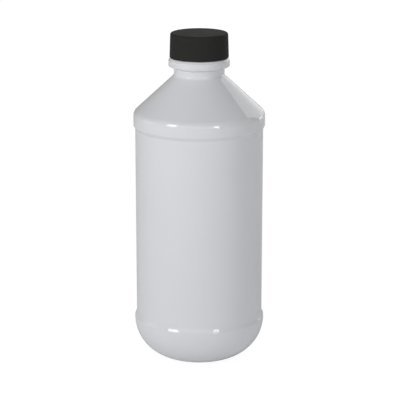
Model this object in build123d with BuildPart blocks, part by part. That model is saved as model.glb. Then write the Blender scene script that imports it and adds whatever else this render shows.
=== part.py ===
"""Round plastic bottle with a screw cap: a blow-moulded bottle, its moulded cap and the cap's liner.

Millimetres and degrees, +Z up. The origin is on the bottle's axis, in the plane that it stands on.
"""

import os
from math import atan, atan2, cos, degrees, radians, sin, tan

from build123d import *

# Body of the bottle, from the base up: heights are those of each stretch, stacked on the one below
body_diameter = 69.4
wall = 1.0
base_band_height = 1.1
base_ramp_height = 1.65
panel_height = 101.25
panel_depth = 0.95
shoulder_ramp_height = 1.7
shoulder_band_height = 6.8
shoulder_slope = 42.8

# Base: two tangent arcs run from the standing ring to the base band, and the middle is pushed up
base_corner_radius = 21.3
underside_angle = 20.0
standing_edge_radius = 8.0
standing_ring_width = 2.4
push_up_height = 3.2
push_up_edge_radius = 1.0

# Roundings of the body's edges
base_band_rounding = 1.5
panel_foot_rounding = 5.0
shoulder_band_rounding = 1.6
panel_corner_rounding = 0.5
shoulder_rounding = 4.0
neck_base_rounding = 2.0

# Neck and support ring, whose top slopes up to a shelf just under the cap
bore_diameter = 21.2
neck_wall = 2.0
neck_step = 0.75
neck_height = 3.7
ring_overhang = 2.75
ring_underside_rise = 1.2
ring_thickness = 3.0
shelf_inset = 0.9
ring_rounding = 0.5
finish_height = 11.9
rim_rounding = 0.4

# Thread on the neck: six turns an inch, a trapezoid that runs out into the wall at both ends
thread_pitch = 25.4 / 6
thread_depth = 1.05
thread_root_width = 2.3
thread_crest_width = 1.1
thread_top_gap = 1.4
neck_thread_turns = 1.5
cap_thread_turns = 1.25
run_out_turns = 1 / 6
thread_seat = 0.3

# Clearances between the cap and the neck, and the gaps over the ring and its shelf
crest_clearance = 0.35
root_clearance = 0.45
flank_clearance = 0.3
cap_ring_gap = 1.6
cap_shelf_gap = 0.3

# Cap and liner
skirt_thickness = 1.4
skirt_taper = 0.4
cap_top_thickness = 1.4
cap_top_rounding = 1.0
cap_foot_rounding = 0.2
cap_mouth_chamfer = 0.4
liner_thickness = 1.0
liner_clearance = 0.2

# Radii worked out from the sizes above
body_radius = body_diameter / 2
panel_radius = body_radius - panel_depth
standing_radius = body_radius - base_corner_radius
standing_radius += (base_corner_radius - standing_edge_radius) * sin(radians(underside_angle))
push_up_radius = standing_radius - standing_ring_width
bore_radius = bore_diameter / 2
thread_root_radius = bore_radius + neck_wall
thread_crest_radius = thread_root_radius + thread_depth
neck_radius = thread_root_radius + neck_step
ring_radius = neck_radius + ring_overhang
shelf_radius = ring_radius - shelf_inset
cap_crest_radius = thread_root_radius + crest_clearance
cap_root_radius = thread_crest_radius + root_clearance
cap_foot_radius = cap_root_radius + skirt_thickness
cap_top_radius = cap_foot_radius - skirt_taper
liner_radius = cap_root_radius - liner_clearance

# Heights above the standing plane
base_corner_height = (base_corner_radius - standing_edge_radius) * cos(radians(underside_angle))
base_corner_height += standing_edge_radius
base_band_top = base_corner_height + base_band_height
panel_bottom = base_band_top + base_ramp_height
panel_top = panel_bottom + panel_height
shoulder_band_bottom = panel_top + shoulder_ramp_height
shoulder_height = shoulder_band_bottom + shoulder_band_height
neck_base_height = shoulder_height + (body_radius - neck_radius) * tan(radians(shoulder_slope))
ring_root_height = neck_base_height + neck_height
ring_bottom = ring_root_height + ring_underside_rise
ring_top = ring_bottom + ring_thickness
rim_height = ring_top + finish_height
liner_top = rim_height + liner_thickness
cap_top = liner_top + cap_top_thickness
cap_bottom = ring_top + cap_ring_gap
shelf_top = cap_bottom - cap_shelf_gap
neck_thread_height = rim_height - thread_top_gap - (thread_root_width + neck_thread_turns * thread_pitch) / 2

# The cap's thread hangs under the neck's: its crest lies a flank clearance from the neck's flank
flank_slope = (thread_root_width - thread_crest_width) / (2 * thread_depth)
neck_width_at_cap_crest = thread_root_width - 2 * flank_slope * crest_clearance
thread_drop = (neck_width_at_cap_crest + thread_crest_width) / 2 + flank_clearance / cos(atan(flank_slope))
cap_thread_phase = 360 * thread_drop / thread_pitch


def cone_height(radius, inset):
    """Height at a radius of the face that lies inset below the conical shoulder."""
    slope = radians(shoulder_slope)
    return shoulder_height + (body_radius - radius) * tan(slope) - inset / cos(slope)


def base_outline(inset):
    """Draws the half section of the base, inset from its outer face, and returns its outer end."""
    half_angle = degrees(atan(push_up_height / push_up_radius))
    dome_radius = push_up_radius / sin(radians(2 * half_angle))
    dome = JernArc((0, push_up_height + inset), (1, 0), dome_radius, -2 * half_angle)
    standing_ring = Line(dome @ 1, (standing_radius, inset))
    small_arc = JernArc(standing_ring @ 1, (1, 0), standing_edge_radius - inset, underside_angle)
    large_arc = JernArc(small_arc @ 1, small_arc % 1, base_corner_radius - inset, 90 - underside_angle)
    return large_arc @ 1


def cap_outline():
    """Draws the cap's outer half section from the middle of its top, and returns its lower end."""
    outline = FilletPolyline(
        (0, cap_top),
        (cap_top_radius, cap_top),
        (cap_foot_radius, cap_bottom),
        (cap_foot_radius - cap_mouth_chamfer, cap_bottom),
        radius=[cap_top_rounding, cap_foot_rounding],
    )
    return outline @ 1


def thread(root, crest, root_width, crest_width, turns):
    """One thread about the Z axis, its middle on +X at height zero, run out into the wall at its ends."""
    depth = crest - root
    seat = thread_seat if depth > 0 else -thread_seat
    level_height = thread_pitch * (turns / 2 - run_out_turns)
    run_out_height = thread_pitch * run_out_turns
    run_out_slope = degrees(atan2(-depth - seat / 2, run_out_height))
    seat_width = root_width + (root_width - crest_width) * seat / depth
    profile = [
        (root - seat, -seat_width / 2),
        (crest, -crest_width / 2),
        (crest, crest_width / 2),
        (root - seat, seat_width / 2),
    ]
    with BuildPart() as level:
        with BuildLine():
            Helix(thread_pitch, level_height, root)
        with BuildSketch(Plane.XZ):
            Polygon(*profile, align=None)
        sweep(is_frenet=True)
    with BuildPart() as run_out:
        with BuildLine():
            Helix(
                thread_pitch / cos(radians(run_out_slope)),
                run_out_height,
                root,
                cone_angle=run_out_slope,
            )
        with BuildSketch(Plane.XZ):
            Polygon(*profile, align=None)
        sweep(is_frenet=True)
    turned = 360 * (turns / 2 - run_out_turns)
    with BuildPart() as whole:
        add(level.part)
        add(run_out.part.moved(Location((0, 0, level_height), (0, 0, turned))))
        add(whole.part.rotate(Axis.X, 180))
    return whole.part


neck_thread = thread(
    thread_root_radius, thread_crest_radius, thread_root_width, thread_crest_width, neck_thread_turns
)
cap_thread = thread(cap_root_radius, cap_crest_radius, thread_root_width, thread_crest_width, cap_thread_turns)

# Bottle: one turned section with its cavity, and the thread on its neck
with BuildPart() as bottle:
    with BuildSketch(Plane.XZ) as outer_section:
        with BuildLine():
            base_end = base_outline(0)
            outer_wall = FilletPolyline(
                base_end,
                (body_radius, base_band_top),
                (panel_radius, panel_bottom),
                (panel_radius, panel_top),
                (body_radius, shoulder_band_bottom),
                (body_radius, shoulder_height),
                (neck_radius, neck_base_height),
                (neck_radius, ring_root_height),
                (ring_radius, ring_bottom),
                (ring_radius, ring_top),
                (shelf_radius, shelf_top),
                (thread_root_radius, shelf_top),
                (thread_root_radius, rim_height),
                (bore_radius, rim_height),
                radius=[
                    base_band_rounding,
                    panel_foot_rounding,
                    panel_corner_rounding,
                    shoulder_band_rounding,
                    shoulder_rounding,
                    neck_base_rounding,
                    ring_rounding,
                    ring_rounding,
                    ring_rounding,
                    ring_rounding,
                    ring_rounding,
                    rim_rounding,
                ],
            )
            Polyline(outer_wall @ 1, (0, rim_height), (0, push_up_height))
        make_face()
        push_up_edge = outer_section.vertices().sort_by_distance((push_up_radius, 0, 0))[0]
        fillet(push_up_edge, push_up_edge_radius)
    revolve(axis=Axis.Z)
    with Locations((0, 0, neck_thread_height)):
        add(neck_thread)
    with BuildSketch(Plane.XZ) as cavity_section:
        with BuildLine():
            base_end = base_outline(wall)
            inner_wall = FilletPolyline(
                base_end,
                (body_radius - wall, base_band_top),
                (panel_radius - wall, panel_bottom),
                (panel_radius - wall, panel_top),
                (body_radius - wall, shoulder_band_bottom),
                (body_radius - wall, cone_height(body_radius - wall, wall)),
                (bore_radius, cone_height(bore_radius, wall)),
                (bore_radius, rim_height),
                radius=[
                    base_band_rounding,
                    panel_foot_rounding,
                    panel_corner_rounding,
                    shoulder_band_rounding,
                    shoulder_rounding,
                    neck_base_rounding,
                ],
            )
            Polyline(inner_wall @ 1, (0, rim_height), (0, push_up_height + wall))
        make_face()
    revolve(axis=Axis.Z, mode=Mode.SUBTRACT)
bottle.part.label = "bottle"

# Cap: a tapered skirt and top plate, with the thread inside the skirt trimmed to the cap's outside
with BuildPart() as cap:
    with Locations(Location((0, 0, neck_thread_height), (0, 0, cap_thread_phase))):
        add(cap_thread)
    with BuildSketch(Plane.XZ):
        with BuildLine():
            skirt_end = cap_outline()
            Polyline(skirt_end, (0, cap_bottom), (0, cap_top))
        make_face()
    revolve(axis=Axis.Z, mode=Mode.INTERSECT)
    with BuildSketch(Plane.XZ):
        with BuildLine():
            skirt_end = cap_outline()
            Polyline(
                skirt_end,
                (cap_root_radius + cap_mouth_chamfer, cap_bottom),
                (cap_root_radius, cap_bottom + cap_mouth_chamfer),
                (cap_root_radius, liner_top),
                (0, liner_top),
                (0, cap_top),
            )
        make_face()
    revolve(axis=Axis.Z)
cap.part.label = "cap"

# Liner: the disc in the cap that seals on the rim
with BuildPart() as cap_liner:
    with BuildSketch(Plane.XY.offset(rim_height)):
        Circle(liner_radius)
    extrude(amount=liner_thickness)
cap_liner.part.label = "cap_liner"

os.makedirs("parts", exist_ok=True)
export_step(bottle.part, "parts/bottle.step")
export_step(cap.part, "parts/cap.step")
export_step(cap_liner.part, "parts/cap_liner.step")
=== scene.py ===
"""Round white plastic bottle with a black screw cap: looks, floor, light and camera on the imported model.

Metres, +Z up. The bottle's axis is Z and it stands on Z = 0. The camera stands on the -Y side.
"""

import logging
import math
from dataclasses import dataclass, field
from enum import Enum

import bpy
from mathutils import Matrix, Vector


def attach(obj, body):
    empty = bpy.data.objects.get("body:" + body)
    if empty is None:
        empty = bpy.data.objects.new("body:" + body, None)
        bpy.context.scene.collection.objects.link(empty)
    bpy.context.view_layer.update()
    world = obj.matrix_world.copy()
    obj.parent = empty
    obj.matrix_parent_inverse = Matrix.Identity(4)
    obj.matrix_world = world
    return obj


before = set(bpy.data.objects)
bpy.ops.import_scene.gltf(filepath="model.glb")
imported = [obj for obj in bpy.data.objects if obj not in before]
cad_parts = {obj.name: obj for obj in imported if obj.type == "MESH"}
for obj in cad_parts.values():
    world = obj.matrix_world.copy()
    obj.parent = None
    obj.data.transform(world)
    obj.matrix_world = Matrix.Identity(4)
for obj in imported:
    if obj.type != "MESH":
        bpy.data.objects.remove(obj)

log = logging.getLogger("round_plastic_bottle")

Colour = tuple[float, float, float]
Nodes = bpy.types.Nodes
Links = bpy.types.NodeLinks
Socket = bpy.types.NodeSocket


class Node(Enum):
    """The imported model's nodes."""

    BOTTLE = "bottle"
    CAP = "cap"
    LINER = "cap_liner"


class Slot(Enum):
    """The record's material slots."""

    BOTTLE = "bottle_white"


class Body(Enum):
    """The bodies that added pieces ride on."""

    BOTTLE = "bottle"


def rgba(colour: Colour) -> tuple[float, float, float, float]:
    """The colour with full opacity, as a colour socket takes it."""
    return (*colour, 1.0)


def deselect_all() -> None:
    """Leaves object mode with nothing selected, so an operator acts on one new piece only."""
    if bpy.context.object is not None and bpy.context.object.mode != "OBJECT":
        bpy.ops.object.mode_set(mode="OBJECT")
    bpy.ops.object.select_all(action="DESELECT")


def math_result(nodes: Nodes, links: Links, operation: str, *values: Socket | float) -> Socket:
    """Adds a Math node.

    Args:
        nodes: The tree's nodes.
        links: The tree's links.
        operation: What the node works out.
        *values: Its inputs in order, each a socket or a number.

    Returns:
        The result, as a socket.
    """
    node = nodes.new("ShaderNodeMath")
    node.operation = operation
    for place, value in zip(node.inputs, values):
        if isinstance(value, float):
            place.default_value = value
        else:
            links.new(value, place)
    return node.outputs["Value"]


def mixed_colour(nodes: Nodes, links: Links, share: Socket, first: Colour, second: Colour) -> Socket:
    """Adds a Mix node between two colours.

    Args:
        nodes: The tree's nodes.
        links: The tree's links.
        share: How much of the second colour shows, from 0 to 1.
        first: The first colour.
        second: The second colour.

    Returns:
        The mixed colour, as a socket.
    """
    node = nodes.new("ShaderNodeMix")
    node.data_type = "RGBA"
    node.inputs["A"].default_value = rgba(first)
    node.inputs["B"].default_value = rgba(second)
    links.new(share, node.inputs["Factor"])
    return node.outputs["Result"]


@dataclass
class MouldedSkin:
    """Node group of a moulded plastic face: long waves of the wall, fine grain and a faint uneven sheen."""

    name: str = "moulded_skin"
    wave_detail: float = 1.0
    wave_roughness: float = 0.35
    grain_detail: float = 2.0
    sheen_start: float = 0.3
    sheen_end: float = 0.7
    tree: bpy.types.ShaderNodeTree = field(init=False)

    def build(self) -> bpy.types.ShaderNodeTree:
        """Builds the group once.

        Returns:
            The group, with a Height for a Bump node, a Roughness value and a Shade mask.
        """
        self.tree = bpy.data.node_groups.new(self.name, "ShaderNodeTree")
        face = self.tree.interface
        face.new_socket("Vector", in_out="INPUT", socket_type="NodeSocketVector")
        for quantity in ("Wave", "Grain"):
            face.new_socket(f"{quantity} Scale", in_out="INPUT", socket_type="NodeSocketFloat")
            face.new_socket(f"{quantity} Height", in_out="INPUT", socket_type="NodeSocketFloat")
        for limit in ("Low", "High"):
            face.new_socket(f"Roughness {limit}", in_out="INPUT", socket_type="NodeSocketFloat")
        for result in ("Height", "Roughness", "Shade"):
            face.new_socket(result, in_out="OUTPUT", socket_type="NodeSocketFloat")
        nodes, links = self.tree.nodes, self.tree.links
        start = nodes.new("NodeGroupInput").outputs
        end = nodes.new("NodeGroupOutput").inputs

        waves = nodes.new("ShaderNodeTexNoise")
        waves.inputs["Detail"].default_value = self.wave_detail
        waves.inputs["Roughness"].default_value = self.wave_roughness
        grain = nodes.new("ShaderNodeTexNoise")
        grain.inputs["Detail"].default_value = self.grain_detail
        for noise, scale in ((waves, "Wave Scale"), (grain, "Grain Scale")):
            links.new(start["Vector"], noise.inputs["Vector"])
            links.new(start[scale], noise.inputs["Scale"])

        wave_height = math_result(nodes, links, "MULTIPLY", waves.outputs["Fac"], start["Wave Height"])
        grain_height = math_result(nodes, links, "MULTIPLY", grain.outputs["Fac"], start["Grain Height"])
        links.new(math_result(nodes, links, "ADD", wave_height, grain_height), end["Height"])

        sheen = nodes.new("ShaderNodeMapRange")
        sheen.inputs["From Min"].default_value = self.sheen_start
        sheen.inputs["From Max"].default_value = self.sheen_end
        links.new(waves.outputs["Fac"], sheen.inputs["Value"])
        links.new(start["Roughness Low"], sheen.inputs["To Min"])
        links.new(start["Roughness High"], sheen.inputs["To Max"])
        links.new(sheen.outputs["Result"], end["Roughness"])
        links.new(waves.outputs["Fac"], end["Shade"])
        return self.tree


@dataclass
class RubbedRing:
    """Node group of a band of height that rubs on what it meets, in uneven patches."""

    name: str = "rubbed_ring"
    patch_scale: float = 300.0
    patch_detail: float = 3.0
    tree: bpy.types.ShaderNodeTree = field(init=False)

    def build(self) -> bpy.types.ShaderNodeTree:
        """Builds the group once.

        Returns:
            The group, whose Rubbed mask is strongest at the Rubbed Height and 0 beyond its Reach.
        """
        self.tree = bpy.data.node_groups.new(self.name, "ShaderNodeTree")
        face = self.tree.interface
        face.new_socket("Vector", in_out="INPUT", socket_type="NodeSocketVector")
        for quantity in ("Rubbed Height", "Reach"):
            face.new_socket(quantity, in_out="INPUT", socket_type="NodeSocketFloat")
        face.new_socket("Rubbed", in_out="OUTPUT", socket_type="NodeSocketFloat")
        nodes, links = self.tree.nodes, self.tree.links
        start = nodes.new("NodeGroupInput").outputs
        end = nodes.new("NodeGroupOutput").inputs

        parts = nodes.new("ShaderNodeSeparateXYZ")
        links.new(start["Vector"], parts.inputs["Vector"])
        above = math_result(nodes, links, "SUBTRACT", parts.outputs["Z"], start["Rubbed Height"])
        distance = math_result(nodes, links, "ABSOLUTE", above)
        fade = nodes.new("ShaderNodeMapRange")
        fade.inputs["From Min"].default_value = 1.0
        fade.inputs["From Max"].default_value = 0.0
        links.new(math_result(nodes, links, "DIVIDE", distance, start["Reach"]), fade.inputs["Value"])

        patches = nodes.new("ShaderNodeTexNoise")
        patches.inputs["Scale"].default_value = self.patch_scale
        patches.inputs["Detail"].default_value = self.patch_detail
        links.new(start["Vector"], patches.inputs["Vector"])
        rubbed = math_result(nodes, links, "MULTIPLY", fade.outputs["Result"], patches.outputs["Fac"])
        links.new(rubbed, end["Rubbed"])
        return self.tree


@dataclass(frozen=True)
class MouldedPlastic:
    """A moulded plastic finish: its colour, gloss, and how its wall waves and wears."""

    name: str
    colour: Colour
    shade: Colour
    roughness_low: float
    roughness_high: float
    specular: float
    ior: float
    wave_scale: float
    wave_height: float
    grain_scale: float
    grain_height: float
    rubbed_height: float
    rubbed_reach: float
    rubbed_roughness: float
    parting_line: float = 0.0
    parting_line_reach: float = 0.00025
    bump_distance: float = 0.0001

    def make(self, skin: MouldedSkin, rub: RubbedRing) -> bpy.types.Material:
        """Builds the material from the shared groups.

        Args:
            skin: The group of waves, grain and sheen.
            rub: The group of the band that rubs.

        Returns:
            The finished material.
        """
        material = bpy.data.materials.new(self.name)
        material.use_nodes = True
        nodes, links = material.node_tree.nodes, material.node_tree.links
        shader = nodes["Principled BSDF"]
        shader.inputs["IOR"].default_value = self.ior
        shader.inputs["Specular IOR Level"].default_value = self.specular
        place = nodes.new("ShaderNodeTexCoord").outputs["Object"]

        surface = nodes.new("ShaderNodeGroup")
        surface.node_tree = skin.tree
        surface.inputs["Wave Scale"].default_value = self.wave_scale
        surface.inputs["Wave Height"].default_value = self.wave_height
        surface.inputs["Grain Scale"].default_value = self.grain_scale
        surface.inputs["Grain Height"].default_value = self.grain_height
        surface.inputs["Roughness Low"].default_value = self.roughness_low
        surface.inputs["Roughness High"].default_value = self.roughness_high
        links.new(place, surface.inputs["Vector"])

        worn = nodes.new("ShaderNodeGroup")
        worn.node_tree = rub.tree
        worn.inputs["Rubbed Height"].default_value = self.rubbed_height
        worn.inputs["Reach"].default_value = self.rubbed_reach
        links.new(place, worn.inputs["Vector"])

        colour = mixed_colour(nodes, links, surface.outputs["Shade"], self.colour, self.shade)
        links.new(colour, shader.inputs["Base Color"])

        gloss = nodes.new("ShaderNodeMix")
        gloss.inputs["B"].default_value = self.rubbed_roughness
        links.new(worn.outputs["Rubbed"], gloss.inputs["Factor"])
        links.new(surface.outputs["Roughness"], gloss.inputs["A"])
        links.new(gloss.outputs["Result"], shader.inputs["Roughness"])

        height = surface.outputs["Height"]
        if self.parting_line > 0:
            height = self._with_parting_line(nodes, links, place, height)
        bump = nodes.new("ShaderNodeBump")
        bump.inputs["Distance"].default_value = self.bump_distance
        links.new(height, bump.inputs["Height"])
        links.new(bump.outputs["Normal"], shader.inputs["Normal"])
        return material

    def _with_parting_line(self, nodes: Nodes, links: Links, place: Socket, height: Socket) -> Socket:
        """Adds the fine raised line that the two mould halves leave on the plane Y = 0.

        Args:
            nodes: The material's nodes.
            links: The material's links.
            place: Object coordinates.
            height: The height without the line.

        Returns:
            The height with the line.
        """
        parts = nodes.new("ShaderNodeSeparateXYZ")
        links.new(place, parts.inputs["Vector"])
        across = math_result(nodes, links, "ABSOLUTE", parts.outputs["Y"])
        ridge = nodes.new("ShaderNodeMapRange")
        ridge.interpolation_type = "SMOOTHSTEP"
        ridge.inputs["From Min"].default_value = self.parting_line_reach
        ridge.inputs["From Max"].default_value = 0.0
        ridge.inputs["To Max"].default_value = self.parting_line
        links.new(across, ridge.inputs["Value"])
        return math_result(nodes, links, "ADD", height, ridge.outputs["Result"])


@dataclass(frozen=True)
class LinerFoam:
    """The finish of a pressed foam disc: a matt skin with fine closed cells."""

    name: str = "pressed_foam"
    colour: Colour = (0.72, 0.72, 0.7)
    cell_colour: Colour = (0.6, 0.6, 0.58)
    cell_scale: float = 2200.0
    cell_depth: float = 0.00004
    roughness: float = 0.75

    def make(self) -> bpy.types.Material:
        """Builds the foam material and returns it."""
        material = bpy.data.materials.new(self.name)
        material.use_nodes = True
        nodes, links = material.node_tree.nodes, material.node_tree.links
        shader = nodes["Principled BSDF"]
        shader.inputs["Roughness"].default_value = self.roughness
        cells = nodes.new("ShaderNodeTexVoronoi")
        cells.inputs["Scale"].default_value = self.cell_scale
        links.new(nodes.new("ShaderNodeTexCoord").outputs["Object"], cells.inputs["Vector"])
        colour = mixed_colour(nodes, links, cells.outputs["Distance"], self.cell_colour, self.colour)
        links.new(colour, shader.inputs["Base Color"])
        bump = nodes.new("ShaderNodeBump")
        bump.inputs["Distance"].default_value = self.cell_depth
        links.new(cells.outputs["Distance"], bump.inputs["Height"])
        links.new(bump.outputs["Normal"], shader.inputs["Normal"])
        return material


def dress(node: Node, material: bpy.types.Material) -> bpy.types.Object:
    """Gives a CAD node its finish.

    Args:
        node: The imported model's node.
        material: The finish.

    Returns:
        The node's object.
    """
    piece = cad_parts[node.value]
    piece.data.materials.clear()
    piece.data.materials.append(material)
    return piece


@dataclass
class Bottle:
    """The blow-moulded bottle, and the gate mark in the middle of its underside."""

    push_up_height: float = 0.0032
    gate_radius: float = 0.0016
    gate_height: float = 0.0004
    gate_seat: float = 0.0001
    gate_dimple: float = 0.0008
    gate_rounding: float = 0.0001
    gate_rounding_steps: int = 3
    gate_sides: int = 48
    smooth_angle: float = 35.0
    finish: MouldedPlastic = MouldedPlastic(
        name="white_moulded_gloss",
        colour=(0.735, 0.747, 0.775),
        shade=(0.75, 0.762, 0.79),
        roughness_low=0.035,
        roughness_high=0.055,
        specular=0.5,
        ior=1.57,
        wave_scale=55.0,
        wave_height=1.0,
        grain_scale=1400.0,
        grain_height=0.012,
        rubbed_height=0.0,
        rubbed_reach=0.0012,
        rubbed_roughness=0.5,
        parting_line=0.5,
    )

    def build(self, skin: MouldedSkin, rub: RubbedRing) -> list[bpy.types.Object]:
        """Dresses the bottle and builds the gate mark.

        Args:
            skin: The group of waves, grain and sheen.
            rub: The group of the band that rubs.

        Returns:
            The bottle and the gate mark.
        """
        material = self.finish.make(skin, rub)
        bottle = dress(Node.BOTTLE, material)
        gate = self._gate_mark()
        gate.data.materials.append(material)
        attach(gate, Body.BOTTLE.value)
        return [bottle, gate]

    def _gate_mark(self) -> bpy.types.Object:
        """Models the small dimpled stub that the moulding gate leaves under the push-up."""
        deselect_all()
        depth = self.gate_height + self.gate_seat
        middle = self.push_up_height + self.gate_seat - depth / 2
        bpy.ops.mesh.primitive_cylinder_add(
            vertices=self.gate_sides, radius=self.gate_radius, depth=depth, location=(0, 0, middle)
        )
        gate = bpy.context.object
        gate.name = "gate_mark"
        bpy.ops.object.transform_apply(location=True)
        bpy.ops.object.mode_set(mode="EDIT")
        bpy.ops.mesh.select_mode(type="FACE")
        bpy.ops.mesh.select_all(action="DESELECT")
        bpy.ops.object.mode_set(mode="OBJECT")
        lowest = min(gate.data.polygons, key=lambda polygon: polygon.center.z)
        lowest.select = True
        bpy.ops.object.mode_set(mode="EDIT")
        bpy.ops.mesh.inset(thickness=self.gate_radius - self.gate_dimple)
        bpy.ops.mesh.inset(thickness=self.gate_dimple / 2)
        bpy.ops.transform.translate(value=(0, 0, self.gate_height / 2))
        bpy.ops.object.mode_set(mode="OBJECT")
        rounding = gate.modifiers.new("rounding", "BEVEL")
        rounding.width = self.gate_rounding
        rounding.segments = self.gate_rounding_steps
        rounding.limit_method = "ANGLE"
        bpy.ops.object.modifier_apply(modifier=rounding.name)
        bpy.ops.object.shade_smooth_by_angle(angle=math.radians(self.smooth_angle))
        return gate


@dataclass
class ScrewCap:
    """The black screw cap with its foam liner."""

    liner: LinerFoam = LinerFoam()
    finish: MouldedPlastic = MouldedPlastic(
        name="black_moulded_matt",
        colour=(0.021, 0.0205, 0.0198),
        shade=(0.024, 0.0233, 0.0225),
        roughness_low=0.84,
        roughness_high=0.92,
        specular=0.2,
        ior=1.5,
        wave_scale=90.0,
        wave_height=0.3,
        grain_scale=2600.0,
        grain_height=0.1,
        rubbed_height=0.17497,
        rubbed_reach=0.0011,
        rubbed_roughness=0.7,
    )

    def build(self, skin: MouldedSkin, rub: RubbedRing) -> list[bpy.types.Object]:
        """Dresses the cap and its liner.

        Args:
            skin: The group of waves, grain and sheen.
            rub: The group of the band that rubs.

        Returns:
            The cap and the liner.
        """
        cap = dress(Node.CAP, self.finish.make(skin, rub))
        liner = dress(Node.LINER, self.liner.make())
        return [cap, liner]


@dataclass(frozen=True)
class Lamp:
    """A rectangular softbox that faces the bottle.

    Its azimuth runs from the camera's side (-Y) toward +X and its elevation from the level, in degrees.
    """

    name: str
    azimuth: float
    elevation: float
    distance: float
    width: float
    height: float
    radiance: float

    def place(self, target: Vector) -> bpy.types.Object:
        """Adds the lamp.

        Args:
            target: The point that it faces.

        Returns:
            The lamp's object.
        """
        turn, rise = math.radians(self.azimuth), math.radians(self.elevation)
        direction = Vector(
            (math.sin(turn) * math.cos(rise), -math.cos(turn) * math.cos(rise), math.sin(rise))
        )
        data = bpy.data.lights.new(self.name, "AREA")
        data.shape = "RECTANGLE"
        data.size = self.width
        data.size_y = self.height
        data.energy = self.radiance * math.pi * self.width * self.height
        lamp = bpy.data.objects.new(self.name, data)
        lamp.visible_camera = False
        lamp.location = target + direction * self.distance
        lamp.rotation_euler = (-direction).to_track_quat("-Z", "Y").to_euler()
        bpy.context.scene.collection.objects.link(lamp)
        return lamp


@dataclass
class Studio:
    """Pale floor, softboxes, world and camera."""

    middle: tuple[float, float, float] = (0.0, 0.0, 0.08483)
    floor_size: float = 8.0
    floor_colour: Colour = (0.93, 0.93, 0.93)
    floor_shadow: Colour = (0.15, 0.15, 0.15)
    floor_white: float = 0.93
    background: Colour = (1.0, 1.0, 1.0)
    surround: float = 0.285
    camera_distance: float = 0.9036
    camera_elevation: float = 15.02
    camera_lens: float = 152.46
    camera_sensor: float = 36.0
    camera_shift: float = 0.002
    lamps: tuple[Lamp, ...] = (
        Lamp("left_strip", -48.0, 23.0, 1.2, 0.36, 0.5, 7.2),
        Lamp("right_strip", 30.0, 16.4, 1.2, 0.2, 0.36, 7.0),
        Lamp("front_fill", -8.0, 11.0, 1.6, 2.0, 1.0, 0.82),
        Lamp("left_fill", -95.0, 8.0, 1.4, 0.8, 0.5, 1.1),
        Lamp("rear_card", 147.0, 22.0, 1.5, 1.2, 1.15, 1.12),
        Lamp("rear_strip", 134.0, 3.0, 1.2, 0.3, 0.2, 1.5),
        Lamp("rear_middle", 180.0, 20.0, 1.5, 0.9, 0.4, 1.2),
    )

    def build(self) -> None:
        """Builds the floor, the lamps, the world and the camera."""
        floor = self._floor()
        log.info("stage %s", floor.name)
        for lamp in self.lamps:
            lamp.place(Vector(self.middle))
            log.info("lamp %s", lamp.name)
        self._world()
        self._camera()
        bpy.context.scene.view_settings.view_transform = "Standard"

    def _floor(self) -> bpy.types.Object:
        """Adds the floor."""
        deselect_all()
        bpy.ops.mesh.primitive_plane_add(size=self.floor_size)
        floor = bpy.context.object
        floor.name = "floor"
        floor.data.materials.append(self._floor_paint())
        return floor

    def _floor_paint(self) -> bpy.types.Material:
        """Makes a plain white paint that looks pale to the camera and keeps the bottle's shadow."""
        material = bpy.data.materials.new("floor_white")
        material.use_nodes = True
        nodes, links = material.node_tree.nodes, material.node_tree.links
        nodes.remove(nodes["Principled BSDF"])
        seen = nodes.new("ShaderNodeLightPath").outputs["Is Camera Ray"]
        diffuse = nodes.new("ShaderNodeBsdfDiffuse")
        paint = mixed_colour(nodes, links, seen, self.floor_colour, self.floor_shadow)
        links.new(paint, diffuse.inputs["Color"])
        emission = nodes.new("ShaderNodeEmission")
        strength = math_result(nodes, links, "MULTIPLY", seen, self.floor_white)
        links.new(strength, emission.inputs["Strength"])
        both = nodes.new("ShaderNodeAddShader")
        links.new(diffuse.outputs["BSDF"], both.inputs[0])
        links.new(emission.outputs["Emission"], both.inputs[1])
        links.new(both.outputs["Shader"], nodes["Material Output"].inputs["Surface"])
        return material

    def _world(self) -> None:
        """Adds the plain world: white to the camera, a dimmer surround to the light."""
        world = bpy.data.worlds.new("studio")
        world.use_nodes = True
        nodes, links = world.node_tree.nodes, world.node_tree.links
        background = nodes["Background"]
        background.inputs["Color"].default_value = rgba(self.background)
        rays = nodes.new("ShaderNodeLightPath")
        strength = nodes.new("ShaderNodeMapRange")
        strength.inputs["To Min"].default_value = self.surround
        strength.inputs["To Max"].default_value = 1.0
        links.new(rays.outputs["Is Camera Ray"], strength.inputs["Value"])
        links.new(strength.outputs["Result"], background.inputs["Strength"])
        bpy.context.scene.world = world

    def _camera(self) -> None:
        """Adds the camera at the photograph's angle."""
        data = bpy.data.cameras.new("camera")
        data.sensor_width = self.camera_sensor
        data.lens = self.camera_lens
        data.shift_x = self.camera_shift
        data.dof.use_dof = False
        camera = bpy.data.objects.new("camera", data)
        rise = math.radians(self.camera_elevation)
        away = Vector((0, -math.cos(rise), math.sin(rise))) * self.camera_distance
        camera.location = Vector(self.middle) + away
        camera.rotation_euler = (math.pi / 2 - rise, 0, 0)
        bpy.context.scene.collection.objects.link(camera)
        bpy.context.scene.camera = camera


def main() -> None:
    """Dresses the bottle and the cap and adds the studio."""
    logging.basicConfig(level=logging.INFO, format="%(name)s: %(message)s")
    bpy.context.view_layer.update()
    skin = MouldedSkin()
    skin.build()
    rub = RubbedRing()
    rub.build()
    for group in (Bottle(), ScrewCap()):
        for piece in group.build(skin, rub):
            log.info("%s: piece %s, %d faces", type(group).__name__, piece.name, len(piece.data.polygons))
    Studio().build()


if __name__ == "__main__":
    main()
